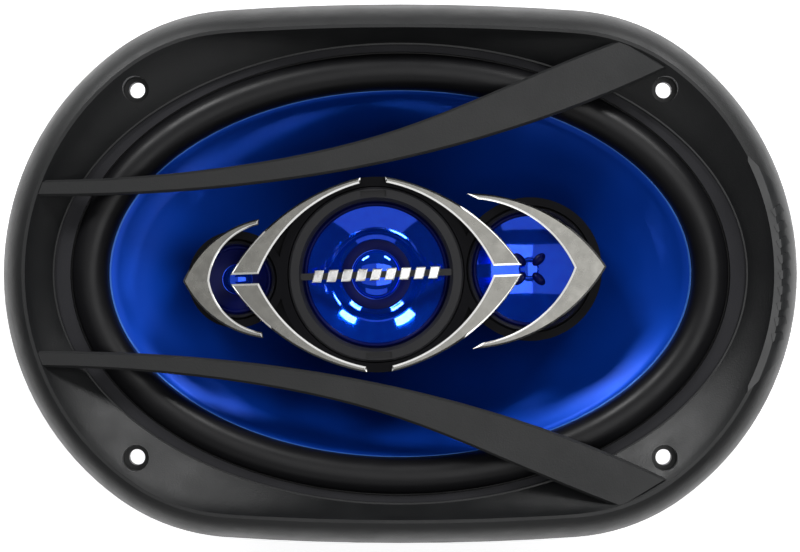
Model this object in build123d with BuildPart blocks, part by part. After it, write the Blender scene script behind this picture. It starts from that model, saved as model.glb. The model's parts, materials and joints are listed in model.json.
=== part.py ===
from build123d import *
from math import atan2, cos, degrees, pi, radians, sin, sqrt, tan
import os

# Oval coaxial car speaker, face up: +Z out of the front, +X along the length.
# The origin is the centre of the screw holes, on the back plane of the flange.
# Millimetres throughout.

# ---------------------------------------------------------------- trim ring
HALF_LENGTH = 120.0        # overall outline
HALF_WIDTH = 81.5
END_RADIUS = 84.0          # the outline is tangent end, corner and side arcs
CORNER_RADIUS = 62.0
SIDE_RADIUS = 770.0
CREST_INSET = 7.0          # the highest line lies this far inside the outline
CREST_LAND = 1.0
CREST_Z = 14.0
TRIM_EDGE = 1.0            # thickness at the aperture's lip
LIP_LAND = 0.5             # flat round the aperture
# Sections of the ring: (inset, height) outside, (share out, share up) inside
OUTER_WALL = [(0.0, 0.0), (1.2, 6.0), (3.6, 11.5), (CREST_INSET, CREST_Z)]
INNER_WALL = [(0.0, 0.0), (0.3, 0.3), (0.7, 0.64), (1.0, 1.0)]
SKIRT_WALL = 2.0           # wall round the pocket for the flange and gasket
GROOVE = (3.2, 5.8)        # hollow behind the outer wall, between these insets
GROOVE_Z = 9.0
SCREW_SPACING_X = 158.5
SCREW_SPACING_Y = 110.5
SCREW_HOLE_R = 2.4
HEAD_RECESS_R = 3.85
HEAD_SEAT_Z = 4.6
BOSS_R = 5.2
BAR_THICKNESS = 4.0
BAR_DROP = 0.3             # bars' tops below the crest
BAR_BEVEL = 0.7
BADGE_HALF_SPAN = 24.2
BADGE_TIP_SPAN = 11.0
BADGE_RAISE = 0.6
RIB_RAISE = 0.35
RIB_COUNT = 9

# ------------------------------------------------------ cone and suspension
CONE_A = 87.9              # rim half-axes and height of the cone's front face
CONE_B = 55.4
CONE_RIM_Z = 1.0
CONE_NECK_Z = -27.0
CONE_WALL = 0.9
ROLL_R = 5.4               # half-roll surround
ROLL_WALL = 1.0
ROLL_GAP = 0.3
FOOT_WIDTH = 5.8           # surround foot under the gasket, outside the roll
FOOT_WALL = 1.0
SPIDER_WALL = 0.6
SPIDER_FLAT = 4.0          # plain outside the waves, glued to the landing
SPIDER_WAVES = 5
SPIDER_AMPLITUDE = 1.1
SPIDER_GAP = 0.05
GASKET_WIDTH = 6.0
GASKET_SHOW_END = 4.7      # gasket width left in view by the trim
GASKET_SHOW_SIDE = 2.1
GASKET_HEIGHT = 2.0
GASKET_GAP = 0.4

# ------------------------------------------------------------------- basket
SHEET = 1.2                # pressed steel
FLANGE_INSET = 2.6
RIM_DEPTH = 10.0           # upright rim under the flange
RIM_DRAFT = 2.0
LANDING_Z = -32.0          # top of the spider landing
LANDING_R = 46.0
LANDING_WIDTH = 6.5
SEAT_R = 44.0
ARM_WIDTH = 16.0
SIDE_ARM_WIDTH = 24.0
ARM_ANGLE = 35.0
VENT_WIDTH = 20.0
VENT_HEIGHT = 8.0
RIVET_R = 1.8
RIVET_HEAD_R = 3.2
RIVET_PCD_R = 32.0

# -------------------------------------------------------------------- motor
COIL_R = 15.65             # outside of the voice coil former
FORMER_WALL = 0.35
FORMER_BOTTOM = -56.0
WINDING = 0.8
WINDING_LENGTH = 9.5
POLE_GAP = 0.5             # former to pole
PLATE_GAP = 0.65           # winding to top plate
TOP_PLATE_Z = -48.0        # seat of the basket on the motor
TOP_PLATE_HEIGHT = 5.0
TOP_PLATE_R = 43.0
MAGNET_R = 45.0
MAGNET_BORE_R = 24.0
MAGNET_HEIGHT = 18.0
BACK_PLATE_HEIGHT = 5.0
BOOT_WALL = 1.8
BOOT_FLOOR = 2.0
BOOT_HOLE_R = 9.0
POST_R = 4.5
POST_CLEARANCE = 0.1
STUD_R = 2.5
NUT_FLATS = 8.0
NUT_HEIGHT = 3.2
NUT_POCKET_R = 6.5
DUST_HOLE_R = 7.0

# --------------------------------------------------- terminals and leads
BOARD_WIDTH = 22.0
BOARD_HEIGHT = 13.0
BOARD_THICKNESS = 3.0
BOARD_RIVET_X = 9.4
BOARD_RIVET_R = 0.9
TERMINAL_X = 4.3
TERMINAL_OPENING = 15.6
TAB_THICKNESS = 0.8
TAB_REACH = 8.5            # tab beyond the board
TAB_TAIL = 3.0             # tab behind the arm, where the lead is soldered
POSITIVE_TAB = 6.3
NEGATIVE_TAB = 4.8
LEAD_R = 0.7

# ---------------------------------------------------------------------- pod
POD_TURN = 2.0             # the pod is fixed slightly turned on its post
MID_X = -7.25              # driver centres along the pod's long axis
TWEETER_X = MID_X + 46.1
SUPER_X = MID_X - 41.8
MID_R = 29.3               # outside radii of the three wells
TWEETER_R = 21.5
SUPER_R = 14.5
WELL_WALL = 1.9
WELL_FLOOR = 1.6
MID_FLOOR_Z = -12.0
TWEETER_FLOOR_Z = -4.5
SUPER_FLOOR_Z = -2.5
POD_TOP_Z = 11.0           # rims that the blades sit on
DECK_Z = 9.0
DECK_THICKNESS = 1.8
SKIRT_Z = -3.0
HUB_R = 9.0
HUB_HEIGHT = 5.0
BLADE_THICKNESS = 2.6
BLADE_BEVEL = 0.55
BLADE_GAP = 1.4            # half the gap between upper and lower blades
RING_GAP = 0.3             # ring to well
LEDGE_WIDTH = 1.6          # ledge inside each well, under the driver's frame
EDGE_GAP = 0.1             # diaphragm to its flexible edge
EDGE_WALL = 0.3
SKIN = 0.4                 # diaphragm thickness
FRAME_WALL = 1.0
RAIL_WIDTH = 2.0           # rail across the middle driver
RAIL_THICKNESS = 1.2
RAIL_DROP = 0.6
STUD_COUNT = 9
STUD_PITCH = 4.35
STUD_HEIGHT = 1.2
CAPACITOR_R = 3.0
CAPACITOR_LENGTH = 12.0
CAPACITOR_OFFSET = 18.6

# Each small driver: centre, well radius, well floor, ring inner and outer
# radii, diaphragm radius and height, coil radius, magnet radius and heights.
SMALL_DRIVERS = {
    "mid": {
        "x": MID_X, "well_r": MID_R, "floor": MID_FLOOR_Z + WELL_FLOOR,
        "ring_in": 21.6, "ring_out": 26.2, "ring_top": 11.5, "rail": True, "vents": 0, "ledge": 5.3,
        "cone_r": 20.8, "cone_low": 1.0, "coil_r": 7.6, "cap_rise": 2.6,
        "magnet_r": 14.0, "plate": 1.6, "magnet_h": 5.0,
    },
    "tweeter": {
        "x": TWEETER_X, "well_r": TWEETER_R, "floor": TWEETER_FLOOR_Z + WELL_FLOOR,
        "ring_in": 17.0, "ring_out": 18.8, "ring_top": 10.6, "rail": False, "vents": 4, "ledge": 6.0,
        "cone_r": 16.2, "cone_low": 3.6, "coil_r": 4.6, "cap_rise": 0.5,
        "magnet_r": 11.0, "plate": 1.2, "magnet_h": 2.6,
    },
    "supertweeter": {
        "x": SUPER_X, "well_r": SUPER_R, "floor": SUPER_FLOOR_Z + WELL_FLOOR,
        "ring_in": 10.1, "ring_out": 11.8, "ring_top": 9.6, "rail": False, "vents": 0, "ledge": 5.2,
        "cone_r": 9.3, "cone_low": 5.0, "coil_r": 6.0, "cap_rise": 2.4,
        "magnet_r": 9.6, "plate": 1.0, "magnet_h": 2.0,
    },
}

# Values that follow from the ones above
GASKET_Z = SHEET + FOOT_WALL
GASKET_TOP = GASKET_Z + GASKET_HEIGHT
ROLL_A = CONE_A + ROLL_GAP + ROLL_R        # centre line of the roll
ROLL_B = CONE_B + ROLL_GAP + ROLL_R
GASKET_A = ROLL_A + ROLL_R + GASKET_GAP    # gasket's inside edge
GASKET_B = ROLL_B + ROLL_R + GASKET_GAP
APERTURE_A = GASKET_A + GASKET_SHOW_END
APERTURE_B = GASKET_B + GASKET_SHOW_SIDE
LIP_Z = GASKET_TOP + TRIM_EDGE
BAR_Z = CREST_Z - BAR_DROP - BAR_THICKNESS
POLE_R = COIL_R - FORMER_WALL - POLE_GAP
TOP_PLATE_BORE_R = COIL_R + WINDING + PLATE_GAP
MAGNET_TOP = TOP_PLATE_Z - TOP_PLATE_HEIGHT
BACK_TOP = MAGNET_TOP - MAGNET_HEIGHT
BACK_Z = BACK_TOP - BACK_PLATE_HEIGHT
BOOT_R = MAGNET_R + 0.2 + BOOT_WALL
BOOT_Z = BACK_Z - BOOT_FLOOR
STUD_TOP = BACK_TOP + 2.0
HUB_Z = MID_FLOOR_Z - HUB_HEIGHT
POST_TOP = MID_FLOOR_Z + 0.4
SPIDER_R = LANDING_R - 2.5
MOTOR_R = COIL_R - FORMER_WALL

os.makedirs("parts", exist_ok=True)


def save(builder, label):
    """Label a finished piece and write it as its own file."""
    builder.part.label = label
    export_step(builder.part, f"parts/{label}.step")


# ------------------------------------------------------------ outline tools
def corner_centre():
    """Centre of the corner arc, tangent inside both the end and the side arc."""
    end_x = HALF_LENGTH - END_RADIUS
    side_y = HALF_WIDTH - SIDE_RADIUS
    near = END_RADIUS - CORNER_RADIUS
    far = SIDE_RADIUS - CORNER_RADIUS
    gap = sqrt(end_x**2 + side_y**2)
    along = (near**2 - far**2 + gap**2) / (2 * gap)
    across = sqrt(near**2 - along**2)
    ux, uy = -end_x / gap, side_y / gap
    return (end_x + along * ux - across * uy, along * uy + across * ux)


CORNER = corner_centre()
END_TURN = atan2(CORNER[1], CORNER[0] - (HALF_LENGTH - END_RADIUS))
SIDE_TURN = atan2(CORNER[1] - (HALF_WIDTH - SIDE_RADIUS), CORNER[0])


def oval_point(turn, inset):
    """Outline point whose outward normal is at angle turn, moved in by inset."""
    fold = abs(atan2(sin(turn), cos(turn)))
    fold = min(fold, pi - fold)
    if fold <= END_TURN:
        x, y, r = HALF_LENGTH - END_RADIUS, 0.0, END_RADIUS
    elif fold <= SIDE_TURN:
        x, y, r = CORNER[0], CORNER[1], CORNER_RADIUS
    else:
        x, y, r = 0.0, HALF_WIDTH - SIDE_RADIUS, SIDE_RADIUS
    px = x + (r - inset) * cos(fold)
    py = y + (r - inset) * sin(fold)
    return (px if cos(turn) >= 0 else -px, py if sin(turn) >= 0 else -py)


def ellipse_point(turn, a, b):
    """Ellipse point whose outward normal is at angle turn."""
    size = sqrt((a * cos(turn)) ** 2 + (b * sin(turn)) ** 2)
    return (a * a * cos(turn) / size, b * b * sin(turn) / size)


def normal_turns():
    """Normal directions that spread points evenly round the outline."""
    quarter = [END_TURN * i / 7 for i in range(7)]
    quarter += [END_TURN + (SIDE_TURN - END_TURN) * i / 4 for i in range(4)]
    quarter += [SIDE_TURN + (pi / 2 - SIDE_TURN) * i / 4 for i in range(4)]
    half = quarter + [pi / 2] + [pi - t for t in reversed(quarter[1:])]
    return half + [t + pi for t in half]


def oval_arcs(inset):
    """The outline moved in by inset, as eight tangent arcs."""
    def arc(start, end):
        middle = (start + end) / 2
        ThreePointArc(oval_point(start, inset), oval_point(middle, inset), oval_point(end, inset))

    bounds = [-END_TURN, END_TURN, SIDE_TURN, pi - SIDE_TURN, pi - END_TURN]
    bounds += [pi + END_TURN, pi + SIDE_TURN, 2 * pi - SIDE_TURN, 2 * pi - END_TURN]
    with BuildLine() as outline:
        for start, end in zip(bounds, bounds[1:]):
            arc(start, end)
    make_face(outline.edges())


def wall_curve(share):
    """Closed curve between the aperture's lip (share 0) and the crest (share 1)."""
    points = []
    for turn in normal_turns():
        low = ellipse_point(turn, APERTURE_A + LIP_LAND, APERTURE_B + LIP_LAND)
        high = oval_point(turn, CREST_INSET + CREST_LAND)
        points.append(tuple(p + (q - p) * share for p, q in zip(low, high)))
    with BuildLine() as outline:
        Spline(*points, periodic=True)
    make_face(outline.edges())


def oval_ring(a_in, b_in, a_out, b_out):
    """Flat ring between two ellipses."""
    Ellipse(a_out, b_out)
    Ellipse(a_in, b_in, mode=Mode.SUBTRACT)


# ---------------------------------------------------------------- trim ring
SCREWS = GridLocations(SCREW_SPACING_X, SCREW_SPACING_Y, 2, 2).locations


def outline_body(levels, raise_by=0.0):
    """Solid through the outline at each (inset, z), grown out and up by raise_by."""
    with BuildPart() as body:
        for inset, z in levels:
            with BuildSketch(Plane.XY.offset(z + raise_by)):
                oval_arcs(inset - raise_by)
        loft()
    return body.part


TRIM_BODY = outline_body(OUTER_WALL)

with BuildPart() as aperture:
    for share, height in INNER_WALL:
        with BuildSketch(Plane.XY.offset(LIP_Z + (CREST_Z - LIP_Z) * height)):
            wall_curve(share)
    loft()
    extrude(faces().sort_by(Axis.Z)[-1], amount=1)

with BuildPart() as swoosh_bars:
    with BuildSketch(Plane.XY.offset(BAR_Z)):
        with BuildLine():
            outer = Spline((-110, 27.9), (-52, 31.8), (0, 43.4), (37.9, 58.6), (66, 70))
            inner = Spline((-110, 23.1), (-54, 25.6), (0, 34.1), (37.9, 44.6), (80, 61.5))
            Line(outer @ 0, inner @ 0)
            Line(outer @ 1, inner @ 1)
        make_face()
        mirror(about=Plane.XZ)
    extrude(amount=BAR_THICKNESS)
    chamfer(faces().filter_by(Axis.Z).group_by(Axis.Z)[-1].edges(), BAR_BEVEL)
    with BuildSketch(Plane.XY.offset(BAR_Z)):
        oval_arcs(CREST_INSET + CREST_LAND / 2)
    extrude(amount=BAR_THICKNESS, mode=Mode.INTERSECT)

with BuildSketch() as groove_inside:
    oval_arcs(GROOVE[1])

with BuildPart() as trim_ring:
    add(TRIM_BODY)
    add(aperture.part, mode=Mode.SUBTRACT)
    with BuildSketch(Plane.XY.offset(-1)):
        Ellipse(APERTURE_A, APERTURE_B)
    extrude(amount=LIP_Z + 1, mode=Mode.SUBTRACT)
    with BuildSketch(Plane.XY.offset(-1)):
        oval_arcs(SKIRT_WALL)
    extrude(amount=GASKET_TOP + 1, mode=Mode.SUBTRACT)
    with BuildSketch(Plane.XY.offset(GASKET_TOP)):
        oval_arcs(GROOVE[0])
        add(groove_inside.sketch, mode=Mode.SUBTRACT)
    extrude(amount=GROOVE_Z - GASKET_TOP, mode=Mode.SUBTRACT)
    with BuildSketch(Plane.XY.offset(SHEET)):
        with Locations(*SCREWS):
            Circle(BOSS_R)
    extrude(amount=GASKET_TOP - SHEET)
    add(swoosh_bars.part)
    with BuildSketch(Plane.XY.offset(HEAD_SEAT_Z)):
        with Locations(*SCREWS):
            Circle(HEAD_RECESS_R)
    extrude(amount=CREST_Z, mode=Mode.SUBTRACT)
    with BuildSketch(Plane.XY):
        with Locations(*SCREWS):
            Circle(SCREW_HOLE_R)
    extrude(amount=CREST_Z, mode=Mode.SUBTRACT)
save(trim_ring, "trim_ring")

# Badge: a band over the crest at the +X end, with a pointed facet at each end
with BuildSketch() as badge_inside:
    oval_arcs(CREST_INSET + 1.6)

with BuildSketch() as badge_span:
    with Locations((HALF_LENGTH, 0)):
        Rectangle(60, 2 * BADGE_HALF_SPAN)
    for side in (-1, 1):
        with BuildLine():
            Polyline(
                (104, side * BADGE_HALF_SPAN), (114.5, side * BADGE_HALF_SPAN),
                (103.5, side * (BADGE_HALF_SPAN + BADGE_TIP_SPAN)), close=True,
            )
        make_face()

with BuildSketch() as rib_plan:
    rib_pitch = 2 * (BADGE_HALF_SPAN - 3.0) / RIB_COUNT
    for i in range(RIB_COUNT):
        rib_y = (i - (RIB_COUNT - 1) / 2) * rib_pitch
        with Locations((HALF_LENGTH - 5.4 - rib_y**2 / (2 * END_RADIUS), rib_y)):
            Rectangle(3.6, rib_pitch * 0.5, rotation=20 + degrees(rib_y / END_RADIUS))

BADGE_BODY = outline_body(OUTER_WALL, BADGE_RAISE)
RIB_BODY = outline_body(OUTER_WALL, BADGE_RAISE + RIB_RAISE)

with BuildPart() as badge_ribs:
    add(rib_plan.sketch)
    extrude(amount=2 * CREST_Z)
    add(RIB_BODY, mode=Mode.INTERSECT)
    add(TRIM_BODY, mode=Mode.SUBTRACT)

with BuildPart() as trim_badge:
    with BuildSketch():
        oval_arcs(1.8)
        add(badge_inside.sketch, mode=Mode.SUBTRACT)
        add(badge_span.sketch, mode=Mode.INTERSECT)
    extrude(amount=2 * CREST_Z)
    add(BADGE_BODY, mode=Mode.INTERSECT)
    add(TRIM_BODY, mode=Mode.SUBTRACT)
    add(badge_ribs.part)
save(trim_badge, "trim_badge")

# ------------------------------------------------------ gasket and surround
with BuildPart() as gasket_ring:
    with BuildSketch(Plane.XY.offset(GASKET_Z)):
        oval_ring(GASKET_A, GASKET_B, GASKET_A + GASKET_WIDTH, GASKET_B + GASKET_WIDTH)
    extrude(amount=GASKET_HEIGHT)
save(gasket_ring, "gasket_ring")

with BuildPart() as surround:
    with BuildLine() as roll_line:
        EllipticalCenterArc((0, 0), ROLL_A, ROLL_B, 0, arc_size=360)
    with BuildSketch(Plane(origin=(ROLL_A, 0, GASKET_Z), x_dir=(1, 0, 0), z_dir=(0, -1, 0))):
        Circle(ROLL_R)
        Circle(ROLL_R - ROLL_WALL, mode=Mode.SUBTRACT)
        with Locations((0, -ROLL_R - FOOT_WALL)):
            Rectangle(4 * ROLL_R, 2 * ROLL_R, mode=Mode.SUBTRACT)
        with Locations((ROLL_R + (FOOT_WIDTH - ROLL_WALL) / 2, -FOOT_WALL / 2)):
            Rectangle(FOOT_WIDTH + ROLL_WALL, FOOT_WALL)
    sweep(path=roll_line.line)
save(surround, "surround")

# ------------------------------------------------------------ moving cone
with BuildPart() as cone_front:
    with BuildSketch(Plane.XY.offset(CONE_NECK_Z)):
        Circle(COIL_R)
    with BuildSketch(Plane.XY.offset(CONE_RIM_Z)):
        Ellipse(CONE_A, CONE_B)
    loft()

with BuildPart() as cone:
    with BuildSketch(Plane.XY.offset(CONE_NECK_Z - CONE_WALL)):
        Circle(COIL_R)
    with BuildSketch(Plane.XY.offset(CONE_RIM_Z - CONE_WALL)):
        Ellipse(CONE_A, CONE_B)
    loft()
    with BuildSketch(Plane.XY.offset(CONE_RIM_Z - CONE_WALL)):
        Ellipse(CONE_A, CONE_B)
    extrude(amount=CONE_WALL)
    with BuildSketch(Plane.XY.offset(CONE_NECK_Z - 2.4)):
        Circle(COIL_R + WINDING)
    extrude(amount=2.4)
    add(cone_front.part, mode=Mode.SUBTRACT)
    with BuildSketch(Plane.XY.offset(CONE_NECK_Z - 5)):
        Circle(COIL_R)
    extrude(amount=10, mode=Mode.SUBTRACT)
save(cone, "cone")


def tube(inner_r, outer_r, low, high, plane=Plane.XY):
    """Straight tube along the plane's normal, from height low to high."""
    with BuildPart() as body:
        with BuildSketch(plane.offset(low)):
            Circle(outer_r)
            Circle(inner_r, mode=Mode.SUBTRACT)
        extrude(amount=high - low)
    return body


save(tube(MOTOR_R, COIL_R, FORMER_BOTTOM, CONE_NECK_Z + 1.0), "voice_coil_former")
WINDING_TOP = TOP_PLATE_Z - TOP_PLATE_HEIGHT / 2 + WINDING_LENGTH / 2
save(tube(COIL_R, COIL_R + WINDING, WINDING_TOP - WINDING_LENGTH, WINDING_TOP), "voice_coil_winding")

with BuildPart() as dust_ring:
    with BuildSketch(Plane.XZ):
        with BuildLine():
            Polyline(
                (DUST_HOLE_R, -25.2), (MOTOR_R, -26.8), (MOTOR_R, -27.6),
                (DUST_HOLE_R + 1, -26.2), (DUST_HOLE_R, -27.2), close=True,
            )
        make_face()
    revolve(axis=Axis.Z)
save(dust_ring, "dust_ring")

# ------------------------------------------------------------------ spider



def spider_waves(z):
    """Points of the corrugated middle of the spider, about height z."""
    start = COIL_R + SPIDER_GAP + SPIDER_FLAT
    end = SPIDER_R - LANDING_WIDTH
    points = []
    for i in range(2 * SPIDER_WAVES + 1):
        r = start + (end - start) * i / (2 * SPIDER_WAVES)
        swing = 0 if i in (0, 2 * SPIDER_WAVES) else SPIDER_AMPLITUDE * (1 if i % 2 else -1)
        points.append((r, z + swing))
    return points


with BuildPart() as spider:
    with BuildSketch(Plane.XZ):
        with BuildLine():
            low = Spline(*spider_waves(LANDING_Z))
            high = Spline(*spider_waves(LANDING_Z + SPIDER_WALL))
            for end, r in ((0, COIL_R + SPIDER_GAP), (1, SPIDER_R)):
                Polyline(low @ end, (r, LANDING_Z), (r, LANDING_Z + SPIDER_WALL), high @ end)
        make_face()
    revolve(axis=Axis.Z)
save(spider, "spider")

# ------------------------------------------------------------------ basket
RIM_A = GASKET_A - GASKET_GAP       # inside of the basket's upright rim
RIM_B = GASKET_B - GASKET_GAP


def basket_shape(wall):
    """Outside of the basket for wall 0, and its inside for a wall thickness."""
    with BuildPart() as body:
        with BuildSketch(Plane.XY.offset(0)):
            Ellipse(RIM_A + SHEET - wall, RIM_B + SHEET - wall)
        with BuildSketch(Plane.XY.offset(-RIM_DEPTH)):
            Ellipse(RIM_A + SHEET - RIM_DRAFT - wall, RIM_B + SHEET - RIM_DRAFT - wall)
        loft()
        with BuildSketch(Plane.XY.offset(-RIM_DEPTH)):
            Ellipse(RIM_A + SHEET - RIM_DRAFT - wall, RIM_B + SHEET - RIM_DRAFT - wall)
        with BuildSketch(Plane.XY.offset(LANDING_Z - SHEET)):
            Circle(LANDING_R + SHEET - wall)
        loft()
    return body.part


BASKET_OUTSIDE = basket_shape(0)
BASKET_INSIDE = basket_shape(SHEET)

with BuildPart() as window_cut:
    with BuildSketch(Plane.XY.offset(LANDING_Z - SHEET)):
        Ellipse(RIM_A - RIM_DRAFT - 4.5, RIM_B - RIM_DRAFT - 4.5)
        Circle(LANDING_R + 4.0, mode=Mode.SUBTRACT)
        for angle in (ARM_ANGLE, 180 - ARM_ANGLE):
            Rectangle(4 * CONE_A, ARM_WIDTH, rotation=angle, mode=Mode.SUBTRACT)
        Rectangle(SIDE_ARM_WIDTH, 4 * CONE_B, mode=Mode.SUBTRACT)
    extrude(amount=-LANDING_Z + SHEET - RIM_DEPTH + 4)

# Outer face of the -Y arm, where the terminal board is riveted
ARM_TOP = (-(RIM_B + SHEET - RIM_DRAFT), -RIM_DEPTH)
ARM_FOOT = (-(LANDING_R + SHEET), LANDING_Z - SHEET)
ARM_RUN = sqrt((ARM_FOOT[0] - ARM_TOP[0]) ** 2 + (ARM_FOOT[1] - ARM_TOP[1]) ** 2)
ARM_NORMAL = ((ARM_FOOT[1] - ARM_TOP[1]) / ARM_RUN, -(ARM_FOOT[0] - ARM_TOP[0]) / ARM_RUN)
ARM_MIDDLE = ((ARM_TOP[0] + ARM_FOOT[0]) / 2, (ARM_TOP[1] + ARM_FOOT[1]) / 2)
ARM_FACE = Plane((0, *ARM_MIDDLE), (1, 0, 0), (0, *ARM_NORMAL))

with BuildPart() as basket:
    with BuildSketch():
        oval_arcs(FLANGE_INSET)
    extrude(amount=SHEET)
    add(BASKET_OUTSIDE)
    with BuildSketch(Plane.XY.offset(-0.01)):
        Ellipse(RIM_A, RIM_B)
    extrude(amount=SHEET + 1, mode=Mode.SUBTRACT)
    add(BASKET_INSIDE, mode=Mode.SUBTRACT)
    add(window_cut.part, mode=Mode.SUBTRACT)
    with BuildSketch(Plane.XZ):
        with BuildLine():
            Polyline(
                (LANDING_R - LANDING_WIDTH, LANDING_Z), (LANDING_R + SHEET, LANDING_Z),
                (LANDING_R + SHEET, LANDING_Z - SHEET), (SEAT_R, TOP_PLATE_Z),
                (POLE_R + 8.0, TOP_PLATE_Z), (POLE_R + 8.0, TOP_PLATE_Z + SHEET),
                (SEAT_R - 1.6, TOP_PLATE_Z + SHEET), (LANDING_R - SHEET, LANDING_Z - SHEET),
                (LANDING_R - LANDING_WIDTH, LANDING_Z - SHEET), close=True,
            )
        make_face()
    revolve(axis=Axis.Z)
    with BuildSketch(Plane.XY):
        with Locations(*SCREWS):
            Circle(SCREW_HOLE_R)
    extrude(amount=3 * SHEET, both=True, mode=Mode.SUBTRACT)
    with PolarLocations(RIVET_PCD_R, 4, start_angle=45):
        Hole(RIVET_R)
    for angle in range(0, 180, 60):
        with BuildSketch(Plane((0, 0, (LANDING_Z + TOP_PLATE_Z) / 2), (0, 0, 1), (
                cos(radians(angle)), sin(radians(angle)), 0))):
            Rectangle(VENT_HEIGHT, VENT_WIDTH)
        extrude(amount=2 * LANDING_R, both=True, mode=Mode.SUBTRACT)
    with BuildSketch(ARM_FACE):
        Rectangle(TERMINAL_OPENING, 5.0)
    extrude(amount=3 * SHEET, both=True, mode=Mode.SUBTRACT)
    with BuildSketch(ARM_FACE):
        with GridLocations(2 * BOARD_RIVET_X, 1, 2, 1):
            Circle(BOARD_RIVET_R)
    extrude(amount=3 * SHEET, both=True, mode=Mode.SUBTRACT)
save(basket, "basket")

with BuildPart() as basket_rivets:
    with PolarLocations(RIVET_PCD_R, 4, start_angle=45):
        with Locations((0, 0, TOP_PLATE_Z + SHEET)):
            Cylinder(RIVET_HEAD_R, 1.4, align=(Align.CENTER, Align.CENTER, Align.MIN))
            Cylinder(RIVET_R, SHEET + TOP_PLATE_HEIGHT, align=(Align.CENTER, Align.CENTER, Align.MAX))
    fillet(edges().filter_by(GeomType.CIRCLE).group_by(Axis.Z)[-1], 1.0)
save(basket_rivets, "basket_rivets")

# ------------------------------------------------------------------- motor
with BuildPart() as top_plate:
    with BuildSketch(Plane.XY.offset(MAGNET_TOP)):
        Circle(TOP_PLATE_R)
        Circle(TOP_PLATE_BORE_R, mode=Mode.SUBTRACT)
        with PolarLocations(RIVET_PCD_R, 4, start_angle=45):
            Circle(RIVET_R, mode=Mode.SUBTRACT)
    extrude(amount=TOP_PLATE_HEIGHT)
save(top_plate, "top_plate")

with BuildPart() as magnet:
    with BuildSketch(Plane.XY.offset(BACK_TOP)):
        Circle(MAGNET_R)
        Circle(MAGNET_BORE_R, mode=Mode.SUBTRACT)
    extrude(amount=MAGNET_HEIGHT)
    chamfer(edges().filter_by(GeomType.CIRCLE), 0.8)
save(magnet, "magnet")

with BuildPart() as pole_yoke:
    with BuildSketch(Plane.XZ):
        with BuildLine():
            Polyline(
                (NUT_POCKET_R, BACK_Z), (TOP_PLATE_R, BACK_Z), (TOP_PLATE_R, BACK_TOP),
                (POLE_R, BACK_TOP), (POLE_R, TOP_PLATE_Z), (POST_R + POST_CLEARANCE, TOP_PLATE_Z),
                (POST_R + POST_CLEARANCE, STUD_TOP), (STUD_R + 0.2, STUD_TOP),
                (STUD_R + 0.2, BACK_Z + NUT_HEIGHT + 0.3),
                (NUT_POCKET_R, BACK_Z + NUT_HEIGHT + 0.3), close=True,
            )
        make_face()
    revolve(axis=Axis.Z)
save(pole_yoke, "pole_yoke")

with BuildPart() as magnet_boot:
    with BuildSketch(Plane.XZ):
        with BuildLine():
            Polyline(
                (BOOT_HOLE_R, BOOT_Z), (BOOT_R, BOOT_Z), (BOOT_R, MAGNET_TOP + 2.0),
                (TOP_PLATE_R + 0.2, MAGNET_TOP + 2.0), (TOP_PLATE_R + 0.2, MAGNET_TOP + 0.2),
                (BOOT_R - BOOT_WALL, MAGNET_TOP + 0.2), (BOOT_R - BOOT_WALL, BACK_Z),
                (BOOT_HOLE_R, BACK_Z), close=True,
            )
        make_face()
    revolve(axis=Axis.Z)
    fillet(edges().filter_by(GeomType.CIRCLE).group_by(Axis.Z)[0].sort_by(SortBy.RADIUS)[-1], 1.2)
save(magnet_boot, "magnet_boot")

with BuildPart() as center_post:
    with BuildSketch(Plane.XY.offset(STUD_TOP)):
        Circle(POST_R)
    extrude(amount=POST_TOP - STUD_TOP)
    with BuildSketch(Plane.XY.offset(BACK_Z + 0.3)):
        Circle(STUD_R)
    extrude(amount=STUD_TOP - BACK_Z - 0.3)
save(center_post, "center_post")

with BuildPart() as post_nut:
    with BuildSketch(Plane.XY.offset(BACK_Z + 0.3)):
        RegularPolygon(NUT_FLATS / 2, 6, major_radius=False)
        Circle(STUD_R, mode=Mode.SUBTRACT)
    extrude(amount=NUT_HEIGHT)
save(post_nut, "post_nut")

# ------------------------------------------------- terminals and tinsel leads
BOARD_FACE = ARM_FACE.offset(BOARD_THICKNESS)

with BuildPart() as terminal_board:
    with BuildSketch(ARM_FACE.offset(-SHEET / 2)):
        RectangleRounded(BOARD_WIDTH, BOARD_HEIGHT, 1.2)
    extrude(amount=BOARD_THICKNESS + SHEET / 2)
    add(BASKET_OUTSIDE, mode=Mode.SUBTRACT)
    with BuildSketch(ARM_FACE):
        with Locations((-TERMINAL_X, 0)):
            Rectangle(POSITIVE_TAB, TAB_THICKNESS)
        with Locations((TERMINAL_X, 0)):
            Rectangle(NEGATIVE_TAB, TAB_THICKNESS)
        with GridLocations(2 * BOARD_RIVET_X, 1, 2, 1):
            Circle(BOARD_RIVET_R)
    extrude(amount=2 * BOARD_THICKNESS, both=True, mode=Mode.SUBTRACT)
save(terminal_board, "terminal_board")

for name, side, width in (("positive", -1, POSITIVE_TAB), ("negative", 1, NEGATIVE_TAB)):
    with BuildPart() as terminal:
        with BuildSketch(ARM_FACE.offset(-SHEET - TAB_TAIL)):
            with Locations((side * TERMINAL_X, 0)):
                Rectangle(width, TAB_THICKNESS)
        extrude(amount=SHEET + TAB_TAIL + BOARD_THICKNESS + TAB_REACH)
        with BuildSketch(ARM_FACE.rotated((90, 0, 0))):
            with Locations((side * TERMINAL_X, BOARD_THICKNESS + TAB_REACH - 2.5)):
                Circle(0.9)
        extrude(amount=2 * TAB_THICKNESS, both=True, mode=Mode.SUBTRACT)
    save(terminal, f"{name}_terminal")

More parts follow.
